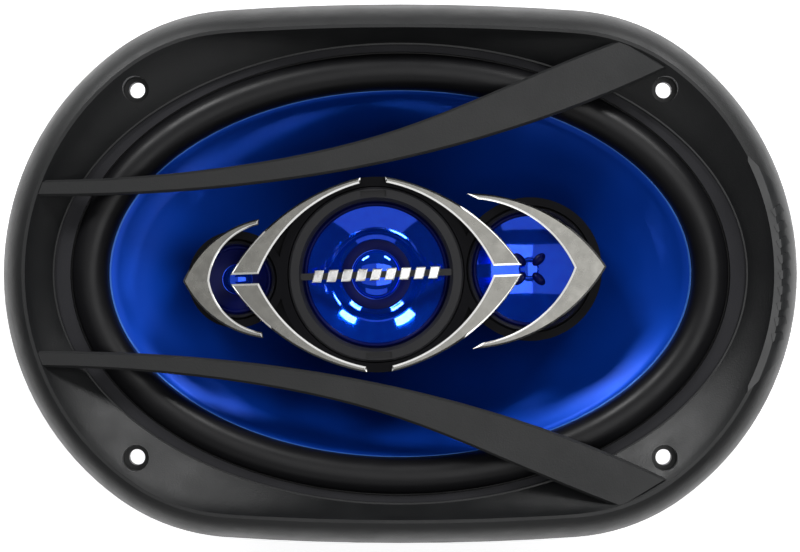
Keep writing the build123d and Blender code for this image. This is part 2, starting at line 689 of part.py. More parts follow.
with BuildPart() as terminal_rivets:
    with BuildSketch(ARM_FACE.offset(-2 * SHEET)):
        with GridLocations(2 * BOARD_RIVET_X, 1, 2, 1):
            Circle(BOARD_RIVET_R)
    extrude(amount=2 * SHEET + BOARD_THICKNESS)
    with BuildSketch(BOARD_FACE):
        with GridLocations(2 * BOARD_RIVET_X, 1, 2, 1):
            Circle(2 * BOARD_RIVET_R)
    extrude(amount=0.9, taper=20)
save(terminal_rivets, "terminal_rivets")


def smooth_path(points):
    """Straight runs joined by arcs as large as the runs allow."""
    runs = [Vector(*q) - Vector(*p) for p, q in zip(points, points[1:])]
    radii = []
    for before, after in zip(runs, runs[1:]):
        turn = radians(before.get_angle(after))
        radii.append(0.45 * min(before.length, after.length) / tan(turn / 2))
    return FilletPolyline(*points, radius=radii)


LEAD_START = ARM_FACE.offset(-SHEET - TAB_TAIL - 0.7).origin
LEAD_FALL = [(0, 0), (5.4, -3.6), (11.6, -5.4), (17.6, -4.2), (21.6, -0.6)]

with BuildPart() as tinsel_leads:
    for side in (-1, 1):
        with BuildLine() as lead_path:
            smooth_path([(side * TERMINAL_X, LEAD_START.Y + dy, LEAD_START.Z + dz)
                         for dy, dz in LEAD_FALL])
        with BuildSketch(Plane(lead_path.line @ 0, z_dir=lead_path.line % 0)):
            Circle(LEAD_R)
        sweep(path=lead_path.line)
save(tinsel_leads, "tinsel_leads")

# --------------------------------------------------------------------- pod
TURN_X, TURN_Y = cos(radians(POD_TURN)), sin(radians(POD_TURN))


def pod_plane(x, z=0.0):
    """Level plane of the turned pod, centred x along it at height z."""
    return Plane((x * TURN_X, x * TURN_Y, z), (TURN_X, TURN_Y, 0), (0, 0, 1))


def pod_section(x):
    """Upright plane along the pod through the driver at x: (radius, height)."""
    return Plane((x * TURN_X, x * TURN_Y, 0), (TURN_X, TURN_Y, 0), (TURN_Y, -TURN_X, 0))


def pod_axis(x):
    return Axis((x * TURN_X, x * TURN_Y, 0), (0, 0, 1))


def bulge(start, end, radius):
    """Middle of the arc from start to end that bows away from the centre."""
    mx, my = (start[0] + end[0]) / 2, (start[1] + end[1]) / 2
    dx, dy = end[0] - start[0], end[1] - start[1]
    chord = sqrt(dx**2 + dy**2)
    rise = radius - sqrt(radius**2 - chord**2 / 4)
    nx, ny = -dy / chord, dx / chord
    side = 1 if nx * mx + ny * my > 0 else -1
    return (mx + side * rise * nx, my + side * rise * ny)


def arc_between(start, end, radius):
    return ThreePointArc(start, bulge(start, end, radius), end)


BLADES = {
    "upper_left": (-1, 1), "upper_right": (1, 1), "lower_left": (-1, -1), "lower_right": (1, -1),
}
# Each crescent: tip, outer end and radius, inner end, radius and apex
CRESCENTS = {
    "left": ((-57.6, 0), (-34.3, 17.8), 31.0, (-34.6, 16.0), 18.5, (-49.8, 0)),
    "right": ((68.8, 0), (28.0, 23.2), 49.0, (31.3, 21.4), 35.0, (59.3, 0)),
}


def blade_plan(side_x, side_y):
    """One large blade: two arcs that close in from the long side to the tip."""
    def at(x, y):
        return (side_x * x, side_y * y)

    with BuildLine() as outline:
        arc_between(at(3.7, 29.1), at(43.6, BLADE_GAP), 62)
        Line(at(43.6, BLADE_GAP), at(35.1, BLADE_GAP))
        arc_between(at(35.1, BLADE_GAP), at(3.9, 27.4), 45)
        Line(at(3.9, 27.4), at(3.7, 29.1))
    make_face(outline.edges())


def crescent_plan(tip, outer_end, outer_radius, inner_end, inner_radius, apex):
    """A pointed crescent, the same above and below its long axis."""
    with BuildLine() as outline:
        for side in (1, -1):
            outer = (outer_end[0], side * outer_end[1])
            inner = (inner_end[0], side * inner_end[1])
            arc_between(tip, outer, outer_radius)
            Line(outer, inner)
            arc_between(inner, apex, inner_radius)
    make_face(outline.edges())


def eye_plan(inset):
    """Outline under the large blades, moved in by inset."""
    with BuildLine() as outline:
        corners = [(44.6 - inset, 0), (0, 29.4 - inset), (-44.6 + inset, 0), (0, -29.4 + inset)]
        for start, end in zip(corners, corners[1:] + corners[:1]):
            arc_between(start, end, 62 - inset)
    make_face(outline.edges())


with BuildPart() as pod_housing:
    with BuildSketch(pod_plane(MID_X, SKIRT_Z)):
        eye_plan(1.2)
    extrude(amount=DECK_Z - SKIRT_Z)
    with BuildSketch(pod_plane(MID_X, SKIRT_Z)):
        eye_plan(1.2 + WELL_WALL)
    extrude(amount=DECK_Z - DECK_THICKNESS - SKIRT_Z, mode=Mode.SUBTRACT)
    with BuildSketch(pod_plane(MID_X, DECK_Z)):
        for sides in BLADES.values():
            blade_plan(*sides)
        offset(amount=-0.4)
        with BuildSketch(mode=Mode.INTERSECT):
            eye_plan(1.2)
    extrude(amount=POD_TOP_Z - DECK_Z)
    for driver in SMALL_DRIVERS.values():
        with BuildSketch(pod_plane(driver["x"], driver["floor"] - WELL_FLOOR)):
            Circle(driver["well_r"])
        extrude(amount=POD_TOP_Z - driver["floor"] + WELL_FLOOR)
    for driver in SMALL_DRIVERS.values():
        with BuildSketch(pod_plane(driver["x"], driver["floor"])):
            Circle(driver["ring_out"] - LEDGE_WIDTH)
        extrude(amount=2 * MID_R, mode=Mode.SUBTRACT)
        with BuildSketch(pod_plane(driver["x"], driver["ledge"])):
            Circle(driver["ring_out"] + RING_GAP)
        extrude(amount=2 * MID_R, mode=Mode.SUBTRACT)
    with BuildSketch(pod_plane(0, HUB_Z)):
        Circle(HUB_R)
    extrude(amount=HUB_HEIGHT)
    with BuildSketch(pod_plane(0, HUB_Z)):
        Circle(POST_R)
    extrude(amount=POST_TOP - HUB_Z, mode=Mode.SUBTRACT)
save(pod_housing, "pod_housing")

for name, sides in BLADES.items():
    with BuildPart() as blade:
        with BuildSketch(pod_plane(MID_X, POD_TOP_Z)):
            blade_plan(*sides)
        extrude(amount=BLADE_THICKNESS)
        chamfer(faces().sort_by(Axis.Z)[-1].edges(), BLADE_BEVEL)
    save(blade, f"blade_{name}")

for name, shape in CRESCENTS.items():
    with BuildPart() as crescent:
        with BuildSketch(pod_plane(MID_X, POD_TOP_Z)):
            crescent_plan(*shape)
        extrude(amount=BLADE_THICKNESS)
        chamfer(faces().sort_by(Axis.Z)[-1].edges(), BLADE_BEVEL)
    save(crescent, f"crescent_{name}")

# ----------------------------------------------------------- small drivers


def spun(profile, x):
    """Solid of revolution about the driver axis at x, from (radius, height) points."""
    with BuildPart() as body:
        with BuildSketch(pod_section(x)):
            with BuildLine():
                Polyline(*profile, close=True)
            make_face()
        revolve(axis=pod_axis(x))
    return body


def diaphragm(driver):
    """Cone with a domed cap, one skin of constant height."""
    low, rim = driver["cone_low"], driver["ledge"] + FRAME_WALL + EDGE_WALL
    coil_r, cone_r, rise = driver["coil_r"], driver["cone_r"], driver["cap_rise"]
    with BuildPart() as body:
        with BuildSketch(pod_section(driver["x"])):
            with BuildLine():
                for drop in (0, SKIN):
                    ThreePointArc((0, low + rise - drop), (0.55 * coil_r, low + 0.7 * rise - drop),
                                  (coil_r, low - drop))
                    Line((coil_r, low - drop), (cone_r, rim - drop))
                Line((0, low + rise), (0, low + rise - SKIN))
                Line((cone_r, rim), (cone_r, rim - SKIN))
            make_face()
        revolve(axis=pod_axis(driver["x"]))
        if driver["vents"]:
            with BuildSketch(pod_plane(driver["x"])):
                with PolarLocations(4.6, driver["vents"], start_angle=45):
                    Ellipse(2.5, 1.5)
            extrude(amount=2 * MID_R, mode=Mode.SUBTRACT)
    return body


def edge_roll(driver):
    """Small half-roll round the diaphragm, with a foot under the ring."""
    roll_in = driver["cone_r"] + EDGE_GAP
    roll_out = driver["ring_in"] + EDGE_WALL
    middle, r = (roll_in + roll_out) / 2, (roll_out - roll_in) / 2
    low = driver["ledge"] + FRAME_WALL
    with BuildPart() as body:
        with BuildSketch(pod_section(driver["x"])):
            with Locations((middle, low)):
                Circle(r)
                Circle(r - EDGE_WALL, mode=Mode.SUBTRACT)
            with Locations((middle, low - 2 * r)):
                Rectangle(4 * r, 4 * r, mode=Mode.SUBTRACT)
            with Locations((roll_out - EDGE_WALL / 2, low)):
                Rectangle(driver["ring_out"] - roll_out, EDGE_WALL, align=(Align.MIN, Align.MIN))
        revolve(axis=pod_axis(driver["x"]))
    return body


def ring(driver):
    """Front ring with a bevelled bore; the middle one carries slots and a rail."""
    low = driver["ledge"] + FRAME_WALL + EDGE_WALL
    top, r_in, r_out = driver["ring_top"], driver["ring_in"] + 2 * EDGE_WALL, driver["ring_out"]
    with BuildPart() as body:
        with BuildSketch(pod_section(driver["x"])):
            with BuildLine():
                Polyline((r_in, low), (r_out, low), (r_out, top - 0.6), (r_out - 0.6, top),
                         (r_in + 0.9, top), (r_in, top - 0.9), close=True)
            make_face()
        revolve(axis=pod_axis(driver["x"]))
        if driver["rail"]:
            with BuildSketch(pod_plane(driver["x"], top - 1.0)):
                with GridLocations(1, 2 * (r_in + r_out) / 2, 1, 2):
                    Rectangle(7.7, 1.8)
            extrude(amount=2, mode=Mode.SUBTRACT)
            with BuildSketch(pod_plane(driver["x"], top - RAIL_DROP - RAIL_THICKNESS)):
                Rectangle(2 * r_in + 1.0, RAIL_WIDTH)
            extrude(amount=RAIL_THICKNESS)
    return body


for name, driver in SMALL_DRIVERS.items():
    x, coil_r, magnet_r = driver["x"], driver["coil_r"], driver["magnet_r"]
    floor, plate = driver["floor"], driver["plate"]
    magnet_low = floor + plate
    magnet_high = magnet_low + driver["magnet_h"]
    plate_top = magnet_high + plate
    ledge = driver["ledge"]
    save(diaphragm(driver), f"{name}_diaphragm")
    save(edge_roll(driver), f"{name}_edge")
    save(ring(driver), f"{name}_ring")
    save(tube(coil_r - 0.2, coil_r + 0.3, magnet_low + 1.0, driver["cone_low"] - SKIN - 0.1,
              pod_plane(x)), f"{name}_coil")
    save(spun([(0, floor), (magnet_r, floor), (magnet_r, magnet_low), (coil_r - 0.6, magnet_low),
               (coil_r - 0.6, plate_top), (0, plate_top)], x), f"{name}_yoke")
    save(tube(coil_r + 1.8, magnet_r, magnet_low, magnet_high, pod_plane(x)), f"{name}_magnet")
    save(tube(coil_r + 0.9, magnet_r - 0.4, magnet_high, plate_top, pod_plane(x)),
         f"{name}_top_plate")
    bowl_out = driver["ring_out"] - LEDGE_WIDTH - 0.4
    save(spun([(magnet_r - 1.8, plate_top), (magnet_r - 0.2, plate_top), (bowl_out, ledge - 0.3),
               (bowl_out, ledge), (driver["ring_out"], ledge), (driver["ring_out"], ledge + FRAME_WALL),
               (driver["cone_r"] + 1.2, ledge + FRAME_WALL), (magnet_r - 1.8, plate_top + FRAME_WALL)],
              x), f"{name}_frame")

mid = SMALL_DRIVERS["mid"]
with BuildPart() as badge_studs:
    with BuildSketch(pod_plane(MID_X, mid["ring_top"] - RAIL_DROP)):
        with GridLocations(STUD_PITCH, 1, STUD_COUNT, 1):
            Polygon(*[(-1.9, -1.8), (0.9, -1.8), (1.9, 1.8), (-0.9, 1.8)], align=None)
    extrude(amount=STUD_HEIGHT)
    chamfer(faces().filter_by(Axis.Z).group_by(Axis.Z)[-1].edges(), 0.3)
save(badge_studs, "badge_studs")

with BuildPart() as crossover_capacitors:
    for side in (-1, 1):
        with BuildSketch(Plane((pod_plane(MID_X).origin.X - CAPACITOR_LENGTH / 2,
                                pod_plane(MID_X).origin.Y + side * CAPACITOR_OFFSET,
                                mid["floor"] + CAPACITOR_R), (0, 1, 0), (1, 0, 0))):
            Circle(CAPACITOR_R)
        extrude(amount=CAPACITOR_LENGTH)
    fillet(edges().filter_by(GeomType.CIRCLE), 0.6)
save(crossover_capacitors, "crossover_capacitors")
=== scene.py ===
import json
import math

import bmesh
import bpy
import numpy as np
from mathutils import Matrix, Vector


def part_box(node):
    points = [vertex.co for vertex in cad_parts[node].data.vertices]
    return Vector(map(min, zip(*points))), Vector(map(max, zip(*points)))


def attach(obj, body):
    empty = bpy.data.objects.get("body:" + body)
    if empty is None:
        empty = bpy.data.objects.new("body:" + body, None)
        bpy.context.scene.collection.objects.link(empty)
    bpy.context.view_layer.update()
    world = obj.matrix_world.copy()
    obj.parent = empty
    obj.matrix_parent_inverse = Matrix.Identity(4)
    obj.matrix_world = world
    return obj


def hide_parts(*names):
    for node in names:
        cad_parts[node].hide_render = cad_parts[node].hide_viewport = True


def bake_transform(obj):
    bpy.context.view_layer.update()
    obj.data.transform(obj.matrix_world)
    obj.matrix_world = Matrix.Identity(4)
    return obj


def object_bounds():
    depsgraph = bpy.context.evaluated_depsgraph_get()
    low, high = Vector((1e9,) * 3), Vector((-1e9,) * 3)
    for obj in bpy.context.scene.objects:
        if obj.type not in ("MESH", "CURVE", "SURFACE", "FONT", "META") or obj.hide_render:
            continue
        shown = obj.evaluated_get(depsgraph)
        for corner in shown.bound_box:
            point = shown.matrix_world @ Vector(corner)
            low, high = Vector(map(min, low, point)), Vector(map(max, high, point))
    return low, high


# Looks of the oval coaxial speaker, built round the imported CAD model.
# The speaker's lengths are millimetres, and MM turns them into Blender's metres.
# The floor, the lights and the camera are in metres.
MM = 0.001
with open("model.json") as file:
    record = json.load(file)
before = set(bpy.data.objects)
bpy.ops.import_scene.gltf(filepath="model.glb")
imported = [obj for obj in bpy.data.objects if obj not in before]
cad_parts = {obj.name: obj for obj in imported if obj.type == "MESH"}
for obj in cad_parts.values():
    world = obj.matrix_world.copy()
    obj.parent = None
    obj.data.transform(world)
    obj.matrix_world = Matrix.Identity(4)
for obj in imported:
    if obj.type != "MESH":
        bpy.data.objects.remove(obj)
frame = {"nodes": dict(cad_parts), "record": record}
cad_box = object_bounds()
nodes = frame["nodes"]


# ------------------------------------------------------------------- places
def centre_of(node):
    """Middle of a node's box in mm, seen from the front."""
    low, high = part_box(node)
    return ((low[0] + high[0]) / 2 / MM, (low[1] + high[1]) / 2 / MM)


def top_of(node):
    """Highest point of a node in mm."""
    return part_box(node)[1][2] / MM


def bottom_of(node):
    """Lowest point of a node in mm."""
    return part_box(node)[0][2] / MM


def half_size(node, axis):
    """Half of a node's extent along an axis in mm."""
    low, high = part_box(node)
    return (high[axis] - low[axis]) / 2 / MM


# Cone
CONE_A, CONE_B = half_size("cone", 0), half_size("cone", 1)
CONE_TOP = top_of("cone")
CONE_WALL = 0.9
CONE_BELLY = 0.9           # sag of the cone's line between neck and rim
CONE_STEPS = 24
RIM_START = 0.991          # share of the way from neck to rim where the flat rim starts
NECK_Z = -27.0             # cone's front face where it meets the former
NECK_R = 15.65
# Line round the rim: shares of the way from neck to rim, heights above the rim
RIM_LINE = [(0.9925, 0.02), (0.995, 0.12), (1.0, 0.12)]
RIM_LINE_WALL = 0.2

# Surround
ROLL_R = 5.4
ROLL_WALL = 0.9
ROLL_GAP = 0.3             # between the cone's rim and the roll
ROLL_STEPS = 18
ROLL_A, ROLL_B = CONE_A + ROLL_GAP + ROLL_R, CONE_B + ROLL_GAP + ROLL_R
FOOT_WALL = 1.0
ROLL_BASE = bottom_of("surround") + FOOT_WALL
FOOT_END = half_size("surround", 0) - ROLL_A
LIP_REACH = 1.0            # lip glued under the cone's rim
LIP_BEND = (0.25, 0.2)     # where the lip turns up, at its foot and its top
LIP_RISE = 0.3             # above the cone's rim

# Spider
SPIDER_R_IN = 15.7
SPIDER_FLAT = 4.0          # flat part at the landing
SPIDER_LIP = 1.0           # flat part at the former
SPIDER_BASE = -32.0
SPIDER_WALL = 0.6
SPIDER_STEPS = 80
SPIDER_BEND_R = 16.5       # nearer the former than this the worked-out pull is full
WAVES = 5
WAVE_HEIGHT = 1.1
WAVE_FADE = 0.4            # how the waves fade towards both flats

# Tinsel leads
LEAD_X = 4.3
LEAD_R = 0.7
LEAD_START_Z = -18.55
LEAD_START_IN = 0.5        # from the back of the CAD lead's box to its middle line
LEAD_FALL = [(0, 0), (5.4, -3.6), (11.6, -5.4), (17.6, -4.2), (21.6, -0.6)]
LEAD_STEPS = 10
LEAD_STILL = 3             # part at the terminals where the worked-out pull is nil
LEAD_BEND = 16.0           # part over which the worked-out pull rises to full

# Small drivers. Low is the z of a dish where its dome meets its flat, and rise the dome's
# height over it. Bow bends the flare between the flat and the rim.
MID_RING_LIP = 4.3         # from the middle ring's outside to the end of its edge roll
DRIVERS = {
    "mid": {"body": "mid_body", "low": 1.0, "rise": 2.6, "dome_r": 7.4, "flat_r": 10.3,
            "rim_r": 20.8, "rim_z": 6.6, "bow": 1.2,
            "roll_end": half_size("mid_ring", 0) - MID_RING_LIP},
    "tweeter": {"body": "tweeter_body", "low": 3.6, "rise": 0.6, "dome_r": 3.0, "flat_r": 3.4,
                "rim_r": 16.2, "rim_z": 7.3, "bow": 0.45, "roll_end": 17.3},
    "supertweeter": {"body": "supertweeter_body", "low": 5.0, "rise": 2.0, "dome_r": 4.4,
                     "flat_r": 5.4, "rim_r": 9.3, "rim_z": 6.5, "bow": 1.3, "roll_end": 10.4},
}
DISH_WALL = 0.4
DISH_STEP = 0.15           # height of the flat's outer end over its inner end
DOME_POWER = 1.2
DOME_STEPS, FLARE_STEPS = 14, 16
EDGE_WALL = 0.3
EDGE_LAP = 0.3             # the edge reaches this far in under the dish's rim
EDGE_GRIP = 0.1            # part of the edge where the worked-out pull is full
EDGE_STEPS = 12
# Lines of the dark pieces: radius, and height over the dish's low
GLUE_LINE = [(7.5, 0.3), (8.4, 0.5), (9.5, 0.5), (10.5, 0.35)]
GLUE_WALL = 0.3
HORN_LINE = [(4.5, 0.3), (5.2, 0.35), (6.6, 0.75)]
HORN_END_R, HORN_END_RISE = 9.2, 0.12
HORN_WALL = 0.2
# Petals: dark patches that paint the shade of the tweeter's vent slots
PETALS = 4
PETAL_STEPS = 24
PETAL_AT = 4.1             # from the tweeter's axis to the petal's middle
PETAL_LONG, PETAL_WIDE = 2.4, 1.35
PETAL_Z = 0.55
PETAL_SLOPE = 0.02
PETAL_WALL = 0.1

# -------------------------------------------------------------- mesh helpers
OVAL_STEPS = 288
ROUND_STEPS = 144
WIRE_STEPS = 12
SHARP_ANGLE = 50           # edges over this many degrees stay sharp
MERGE_DISTANCE = 1e-7      # metres


def piece_from(name, points, faces):
    """New smooth object from points in mm."""
    mesh = bpy.data.meshes.new(name)
    mesh.from_pydata([tuple(c * MM for c in p) for p in points], [], faces)
    mesh.validate()
    mesh.shade_smooth()
    mesh.set_sharp_from_angle(angle=math.radians(SHARP_ANGLE))
    piece = bpy.data.objects.new(name, mesh)
    bpy.context.scene.collection.objects.link(piece)
    return piece


def rings_to_faces(rings, size, close_rings=True):
    """Quads between rings of size points, each ring joined to the next."""
    faces = []
    for i in range(rings if close_rings else rings - 1):
        j = (i + 1) % rings
        for k in range(size):
            m = (k + 1) % size
            faces.append((i * size + k, i * size + m, j * size + m, j * size + k))
    return faces


def carried_round(name, profile, steps, place):
    """Closed profile of (across, z) points, put at each turn by place(turn, across)."""
    points = []
    for i in range(steps):
        turn = 2 * math.pi * i / steps
        points += [(*place(turn, across), z) for across, z in profile]
    return piece_from(name, points, rings_to_faces(steps, len(profile)))


def swept_oval(name, a, b, profile):
    """Profile of (outward, z) points carried round an ellipse."""
    def place(turn, out):
        nx, ny = b * math.cos(turn), a * math.sin(turn)
        size = math.hypot(nx, ny)
        return a * math.cos(turn) + out * nx / size, b * math.sin(turn) + out * ny / size

    return carried_round(name, profile, OVAL_STEPS, place)


def lofted_cone(name, profile):
    """Profile of (share, z): share 0 is the neck circle, 1 the rim ellipse."""
    def place(turn, share):
        rx = NECK_R + (CONE_A - NECK_R) * share
        ry = NECK_R + (CONE_B - NECK_R) * share
        return rx * math.cos(turn), ry * math.sin(turn)

    return carried_round(name, profile, OVAL_STEPS, place)


def lathe(name, centre, profile):
    """Profile of (radius, z) turned about an upright axis."""
    def place(turn, r):
        return centre[0] + r * math.cos(turn), centre[1] + r * math.sin(turn)

    piece = carried_round(name, profile, ROUND_STEPS, place)
    merge_doubles(piece)
    return piece


def merge_doubles(piece):
    """Join the points that fall together, as on an axis."""
    work = bmesh.new()
    work.from_mesh(piece.data)
    bmesh.ops.remove_doubles(work, verts=work.verts, dist=MERGE_DISTANCE)
    work.to_mesh(piece.data)
    work.free()


def skin(line, thickness):
    """Closed profile from an open line of (x, z) points and the same line below."""
    return line + [(x, z - thickness) for x, z in reversed(line)]


def half_roll(r, base, steps):
    """Half circle standing on base, from its inner end over the top to its outer end."""
    turns = (math.pi * (1 - i / steps) for i in range(steps + 1))
    return [(r * math.cos(t), base + r * math.sin(t)) for t in turns]


def tube_along(name, path, r):
    """Round wire through points in a plane parallel to YZ."""
    points = []
    for i, (x, y, z) in enumerate(path):
        before, after = path[max(i - 1, 0)], path[min(i + 1, len(path) - 1)]
        dy, dz = after[1] - before[1], after[2] - before[2]
        size = math.hypot(dy, dz)
        ny, nz = -dz / size, dy / size
        for k in range(WIRE_STEPS):
            t = 2 * math.pi * k / WIRE_STEPS
            up = r * math.sin(t)
            points.append((x + r * math.cos(t), y + up * ny, z + up * nz))
    first, last = range(WIRE_STEPS), range(len(points) - WIRE_STEPS, len(points))
    faces = rings_to_faces(len(path), WIRE_STEPS, close_rings=False)
    faces += [tuple(first), tuple(reversed(last))]
    return piece_from(name, points, faces)


def curve_through(knots, steps):
    """Smooth (Catmull-Rom) line through knots."""
    ends = [knots[0]] + knots + [knots[-1]]
    line = []
    for i in range(1, len(ends) - 2):
        a, b, c, d = (np.array(p, float) for p in ends[i - 1:i + 3])
        for k in range(steps):
            t = k / steps
            line.append(tuple(0.5 * (2 * b + (c - a) * t + (2 * a - 5 * b + 4 * c - d) * t**2
                                     + (3 * b - a - 3 * c + d) * t**3)))
    return line + [tuple(map(float, knots[-1]))]


def smooth_step(t):
    """Smooth rise from 0 to 1 while t does the same."""
    t = min(max(t, 0.0), 1.0)
    return t * t * (3 - 2 * t)


def follow(piece, body, share):
    """Bake piece's placement and work out the pull that share(x, y, z), in mm, gives each
    point; the pull is not applied. body is not used.
    """
    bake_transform(piece)
    pull = np.array([share(*(c / MM for c in v.co)) for v in piece.data.vertices], np.float32)


# ------------------------------------------------------------------ materials
PATCH_DETAIL = 4.0
MIN_ROUGHNESS = 0.02


class Finish:
    """A Principled material with procedural grain, uneven gloss and mottling."""

    def __init__(self, name, colour, roughness, metallic=0.0, **more):
        self.material = bpy.data.materials.new(name)
        self.material.use_nodes = True
        self.tree = self.material.node_tree
        self.shader = self.tree.nodes["Principled BSDF"]
        self.place = self.tree.nodes.new("ShaderNodeTexCoord").outputs["Object"]
        self.colour, self.roughness = colour, roughness
        self.set("Base Color", (*colour, 1))
        self.set("Roughness", roughness)
        self.set("Metallic", metallic)
        for socket, value in more.items():
            self.set(socket.replace("_", " "), value)
        self.height = None

    def set(self, socket, value):
        self.shader.inputs[socket].default_value = value

    def noise(self, size, detail=3.0, stretch=(1, 1, 1)):
        """Noise with features of size mm, longer along stretched axes."""
        mapping = self.tree.nodes.new("ShaderNodeMapping")
        mapping.inputs["Scale"].default_value = [1 / s for s in stretch]
        self.tree.links.new(self.place, mapping.inputs["Vector"])
        node = self.tree.nodes.new("ShaderNodeTexNoise")
        node.inputs["Scale"].default_value = 1 / (size * MM)
        node.inputs["Detail"].default_value = detail
        self.tree.links.new(mapping.outputs["Vector"], node.inputs["Vector"])
        return node.outputs["Fac"]

    def spread(self, value, low, high, start=0.3, stop=0.7):
        """A value's range from start to stop, mapped to low to high."""
        node = self.tree.nodes.new("ShaderNodeMapRange")
        node.inputs["From Min"].default_value = start
        node.inputs["From Max"].default_value = stop
        node.inputs["To Min"].default_value = low
        node.inputs["To Max"].default_value = high
        self.tree.links.new(value, node.inputs["Value"])
        return node.outputs["Result"]

    def mix(self, share, first, second, kind="RGBA"):
        """Mix of two colours or, with kind FLOAT, of two numbers or sockets."""
        node = self.tree.nodes.new("ShaderNodeMix")
        node.data_type = kind
        first_at, second_at, result_at = {"RGBA": (6, 7, 2), "FLOAT": (2, 3, 0)}[kind]
        self.tree.links.new(share, node.inputs[0])
        for at, value in ((first_at, first), (second_at, second)):
            if isinstance(value, bpy.types.NodeSocket):
                self.tree.links.new(value, node.inputs[at])
            else:
                node.inputs[at].default_value = value
        return node.outputs[result_at]

    def grain(self, size, depth, stretch=(1, 1, 1)):
        """Relief of features size mm wide and depth mm high, added to any before."""
        bump = self.tree.nodes.new("ShaderNodeBump")
        bump.inputs["Strength"].default_value = 1.0
        bump.inputs["Distance"].default_value = depth * MM
        self.tree.links.new(self.noise(size, stretch=stretch), bump.inputs["Height"])
        if self.height:
            self.tree.links.new(self.height, bump.inputs["Normal"])
        self.height = bump.outputs["Normal"]
        self.tree.links.new(self.height, self.shader.inputs["Normal"])
        return self

    def uneven(self, size, amount, stretch=(1, 1, 1)):
        """Gloss that varies by amount either way."""
        low, high = max(self.roughness - amount, MIN_ROUGHNESS), self.roughness + amount
        result = self.spread(self.noise(size, PATCH_DETAIL, stretch), low, high)
        self.tree.links.new(result, self.shader.inputs["Roughness"])
        return self

    def mottle(self, size, colour, share=0.6):
        """Patches of a second colour."""
        patches = self.spread(self.noise(size, PATCH_DETAIL), 0.0, share)
        result = self.mix(patches, (*self.colour, 1), (*colour, 1))
        self.tree.links.new(result, self.shader.inputs["Base Color"])
        return self


def scaled(colour, share):
    return tuple(c * share for c in colour)


def plastic(name, colour, roughness, grain_size=0.35, depth=0.02, specular=0.4):
    finish = Finish(name, colour, roughness, Specular_IOR_Level=specular)
    return finish.grain(grain_size, depth).uneven(9, 0.05).mottle(14, scaled(colour, 1.25))


def metal(name, colour, roughness, streak=(1, 1, 1)):
    finish = Finish(name, colour, roughness, metallic=1.0)
    finish.grain(0.25, 0.004, streak).uneven(3, 0.08, streak)
    return finish.mottle(6, scaled(colour, 0.8))


def painted(name, colour, roughness):
    finish = Finish(name, colour, roughness, Specular_IOR_Level=0.5)
    return finish.grain(0.7, 0.03).uneven(12, 0.07).mottle(20, scaled(colour, 1.6))


def cloth(name, colour):
    """Woven cloth: two crossed sets of threads."""
    thread, relief = 0.6, 0.12
    finish = Finish(name, colour, 0.85, Specular_IOR_Level=0.2)
    finish.grain(thread, relief, stretch=(4, 1, 1)).grain(thread, relief, stretch=(1, 4, 1))
    return finish.mottle(5, scaled(colour, 0.7))


def blade_finish(name):
    """Satin faces that look up, polished bevels and sides."""
    satin, polish, polish_roughness = (0.27, 0.265, 0.245), (0.95, 0.95, 0.94), 0.07
    finish = Finish(name, satin, 0.26, metallic=1.0)
    tree = finish.tree
    split = tree.nodes.new("ShaderNodeSeparateXYZ")
    geometry = tree.nodes.new("ShaderNodeNewGeometry")
    tree.links.new(geometry.outputs["True Normal"], split.inputs["Vector"])
    bevel = finish.spread(split.outputs["Z"], 1.0, 0.0, 0.93, 0.97)
    finish.grain(0.3, 0.003, stretch=(6, 1, 1))
    clouds = finish.spread(finish.noise(2.2, 6.0), 0.0, 0.6)
    face_colour = finish.mix(clouds, (*satin, 1), (*scaled(satin, 0.72), 1))
    colour = finish.mix(bevel, face_colour, (*polish, 1))
    tree.links.new(colour, finish.shader.inputs["Base Color"])
    face_roughness = finish.spread(finish.noise(5.0, 5.0), 0.2, 0.32)
    roughness = finish.mix(bevel, face_roughness, polish_roughness, "FLOAT")
    tree.links.new(roughness, finish.shader.inputs["Roughness"])
    return finish


def cone_finish(name):
    """Blue metallised film under a thin clear skin."""
    finish = Finish(name, (0.0, 0.045, 0.42), 0.42, metallic=0.7, Specular_IOR_Level=0.1,
                    Coat_Weight=0.15, Coat_Roughness=0.3)
    return finish.grain(0.8, 0.004).uneven(16, 0.05).mottle(30, (0.0, 0.06, 0.5), 0.5)


def mirror_finish(name):
    """Blue metallised film, almost a mirror."""
    finish = Finish(name, (0.0, 0.085, 0.95), 0.07, metallic=0.8, Specular_IOR_Level=0.0,
                    Coat_Weight=0.7, Coat_Roughness=0.03)
    return finish.grain(3.0, 0.006).uneven(4, 0.02).mottle(3, (0.0, 0.035, 0.75), 0.5)


def rim_line_highlight_finish(name):
    """Cut edge of the cone's film, coloured lighter than the film: a painted highlight along
    the rim.
    """
    # The lighter blue paints the highlight that the rim's cut edge catches.
    finish = Finish(name, (0.03, 0.16, 0.6), 0.35, metallic=0.3)
    return finish.grain(0.6, 0.004).uneven(5, 0.08).mottle(6, (0.01, 0.08, 0.45))


